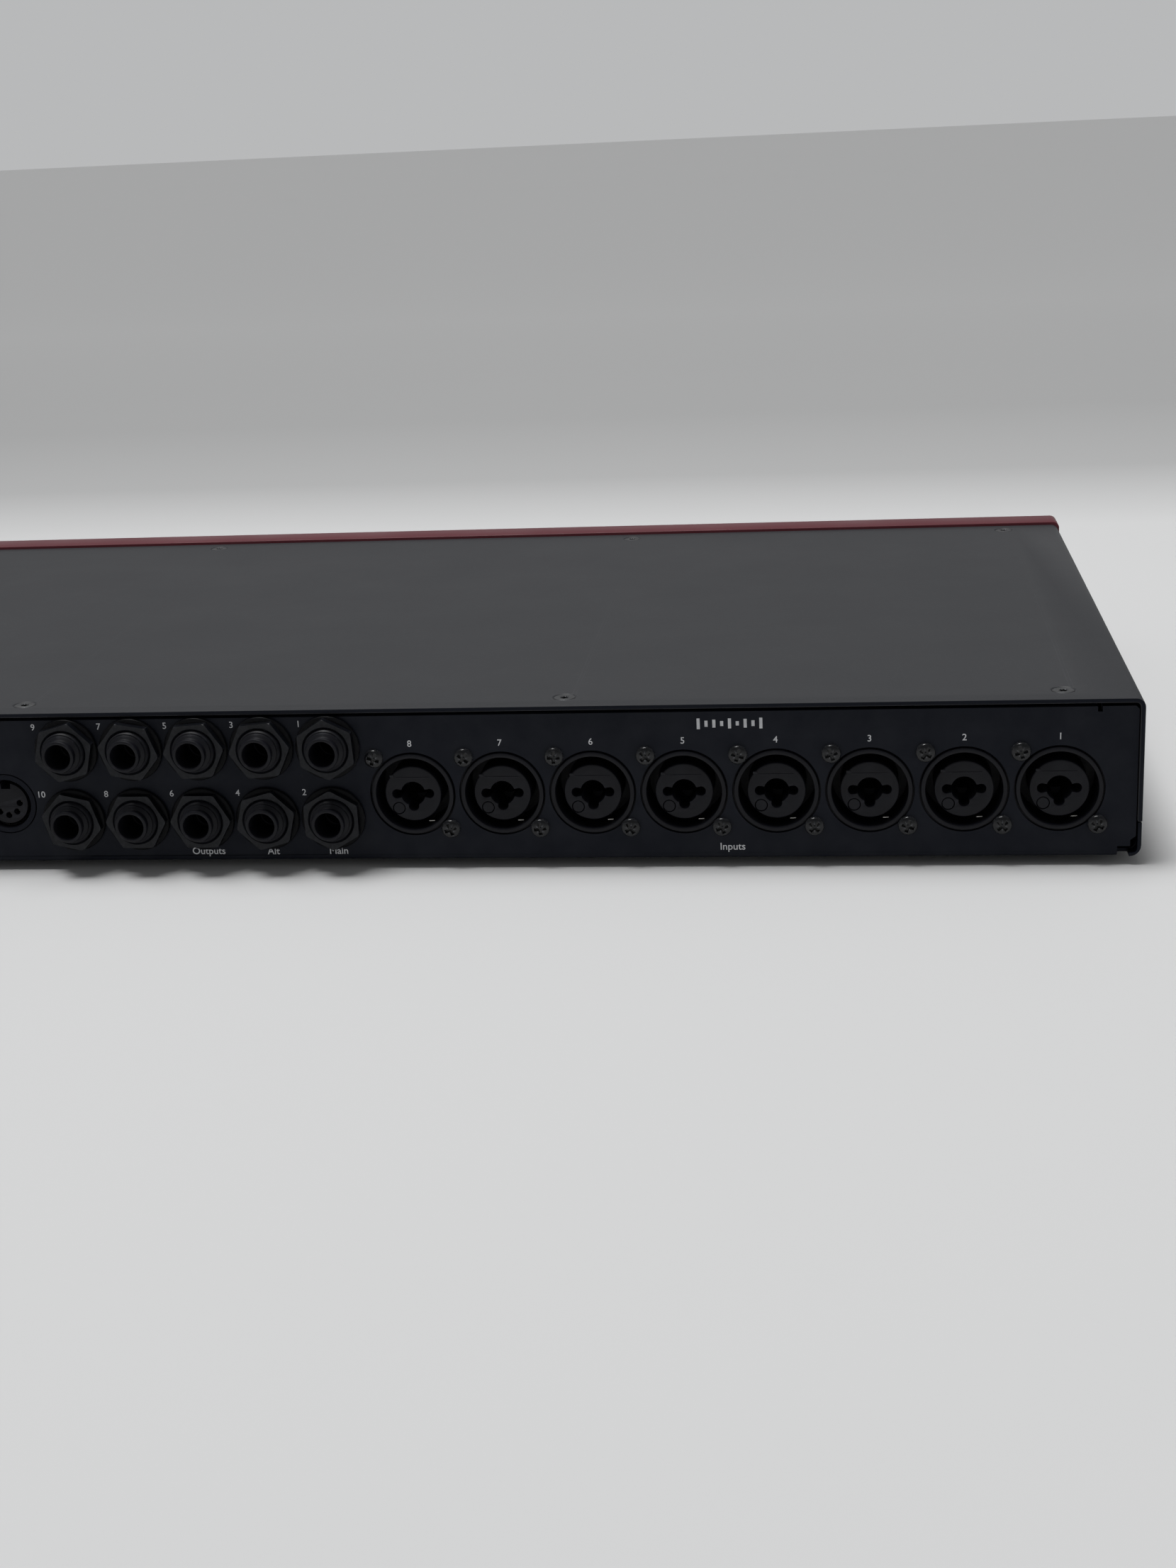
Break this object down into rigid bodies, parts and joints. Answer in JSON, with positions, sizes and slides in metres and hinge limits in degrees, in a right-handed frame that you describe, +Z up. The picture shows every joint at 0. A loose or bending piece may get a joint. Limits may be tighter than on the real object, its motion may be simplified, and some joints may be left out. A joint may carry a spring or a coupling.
{
  "type": "audio interface",
  "caption": "Flat one-unit studio audio interface: grey steel cover on a black tray, deep red fascia with knobs and keys, and a rear row of round combination, jack and data sockets.",
  "frame": {"origin": "on the surface it stands on, under the middle of its outline", "axes": "+X to the right seen from the front and along the case's width, +Y towards the rear panel, +Z up"},
  "size_m": [0.441, 0.2834, 0.0475],
  "materials": {
    "cover_paint": "satin powder coat, dark grey, fine texture",
    "tray_paint": "satin black paint with white print",
    "red_paint": "satin red coat on cast aluminium",
    "foot_rubber": "moulded rubber",
    "socket_plastic": "moulded black nylon",
    "black_plate": "black plated brass and steel",
    "nickel_plate": "bright nickel plate",
    "knob_plastic": "fine-textured moulding",
    "button_plastic": "soft matte moulding",
    "smoked_window": "smoked acrylic",
    "circuit_board": "green solder mask"
  },
  "bodies": {
    "root": {"chassis_tray": "tray_paint", "coax_socket_pair": "nickel_plate", "combo_socket_1": "socket_plastic", "combo_socket_2": "socket_plastic", "combo_socket_3": "socket_plastic", "combo_socket_4": "socket_plastic", "combo_socket_5": "socket_plastic", "combo_socket_6": "socket_plastic", "combo_socket_7": "socket_plastic", "combo_socket_8": "socket_plastic", "foot_1": "foot_rubber", "foot_2": "foot_rubber", "foot_3": "foot_rubber", "foot_4": "foot_rubber", "front_board": "circuit_board", "front_fascia": "red_paint", "instrument_jack_1": "socket_plastic", "instrument_jack_2": "socket_plastic", "main_board": "circuit_board", "mains_inlet": "socket_plastic", "meter_window": "smoked_window", "midi_socket_1": "socket_plastic", "midi_socket_2": "socket_plastic", "optical_port_1": "socket_plastic", "optical_port_2": "socket_plastic", "output_jack_pair_1": "socket_plastic", "output_jack_pair_2": "socket_plastic", "output_jack_pair_3": "socket_plastic", "output_jack_pair_4": "socket_plastic", "output_jack_pair_5": "socket_plastic", "output_nut_1": "black_plate", "output_nut_10": "black_plate", "output_nut_2": "black_plate", "output_nut_3": "black_plate", "output_nut_4": "black_plate", "output_nut_5": "black_plate", "output_nut_6": "black_plate", "output_nut_7": "black_plate", "output_nut_8": "black_plate", "output_nut_9": "black_plate", "phones_jack_1": "socket_plastic", "phones_jack_2": "socket_plastic", "supply_board": "circuit_board", "switch_housing": "socket_plastic", "top_cover": "cover_paint", "usb_port": "nickel_plate", "word_clock_socket": "nickel_plate"},
    "gain_knob": {"gain_knob": "knob_plastic"},
    "monitor_knob": {"monitor_knob": "knob_plastic"},
    "phones_knob_1": {"phones_knob_1": "knob_plastic"},
    "phones_knob_2": {"phones_knob_2": "knob_plastic"},
    "phantom_button": {"phantom_button": "button_plastic"},
    "instrument_button": {"instrument_button": "button_plastic"},
    "pad_button": {"pad_button": "button_plastic"},
    "auto_gain_button": {"auto_gain_button": "button_plastic"},
    "dim_button": {"dim_button": "button_plastic"},
    "mute_button": {"mute_button": "button_plastic"},
    "alt_button": {"alt_button": "button_plastic"},
    "talkback_button": {"talkback_button": "button_plastic"},
    "power_rocker": {"power_rocker": "button_plastic"}
  },
  "joints": [
    {"name": "gain_knob_turn", "type": "hinge", "parent": "root", "child": "gain_knob", "pos_m": [-0.152, -0.12875, 0.024], "axis": [0, 1, 0], "continuous": true},
    {"name": "monitor_knob_turn", "type": "hinge", "parent": "root", "child": "monitor_knob", "pos_m": [0.07, -0.12875, 0.024], "axis": [0, 1, 0], "continuous": true},
    {"name": "phones_knob_1_turn", "type": "hinge", "parent": "root", "child": "phones_knob_1", "pos_m": [0.133, -0.12875, 0.024], "axis": [0, 1, 0], "range_deg": [-150, 150]},
    {"name": "phones_knob_2_turn", "type": "hinge", "parent": "root", "child": "phones_knob_2", "pos_m": [0.17, -0.12875, 0.024], "axis": [0, 1, 0], "range_deg": [-150, 150]},
    {"name": "phantom_button_press", "type": "slide", "parent": "root", "child": "phantom_button", "axis": [0, 1, 0], "range_m": [0, 0.0008], "stiffness_N_per_m": 1500},
    {"name": "instrument_button_press", "type": "slide", "parent": "root", "child": "instrument_button", "axis": [0, 1, 0], "range_m": [0, 0.0008], "stiffness_N_per_m": 1500},
    {"name": "pad_button_press", "type": "slide", "parent": "root", "child": "pad_button", "axis": [0, 1, 0], "range_m": [0, 0.0008], "stiffness_N_per_m": 1500},
    {"name": "auto_gain_button_press", "type": "slide", "parent": "root", "child": "auto_gain_button", "axis": [0, 1, 0], "range_m": [0, 0.0008], "stiffness_N_per_m": 1500},
    {"name": "dim_button_press", "type": "slide", "parent": "root", "child": "dim_button", "axis": [0, 1, 0], "range_m": [0, 0.0008], "stiffness_N_per_m": 1500},
    {"name": "mute_button_press", "type": "slide", "parent": "root", "child": "mute_button", "axis": [0, 1, 0], "range_m": [0, 0.0008], "stiffness_N_per_m": 1500},
    {"name": "alt_button_press", "type": "slide", "parent": "root", "child": "alt_button", "axis": [0, 1, 0], "range_m": [0, 0.0008], "stiffness_N_per_m": 1500},
    {"name": "talkback_button_press", "type": "slide", "parent": "root", "child": "talkback_button", "axis": [0, 1, 0], "range_m": [0, 0.0008], "stiffness_N_per_m": 1500},
    {"name": "power_rocker_tip", "type": "hinge", "parent": "root", "child": "power_rocker", "pos_m": [0.207, -0.12755, 0.024], "axis": [-1, 0, 0], "range_deg": [0, 16]}
  ]
}
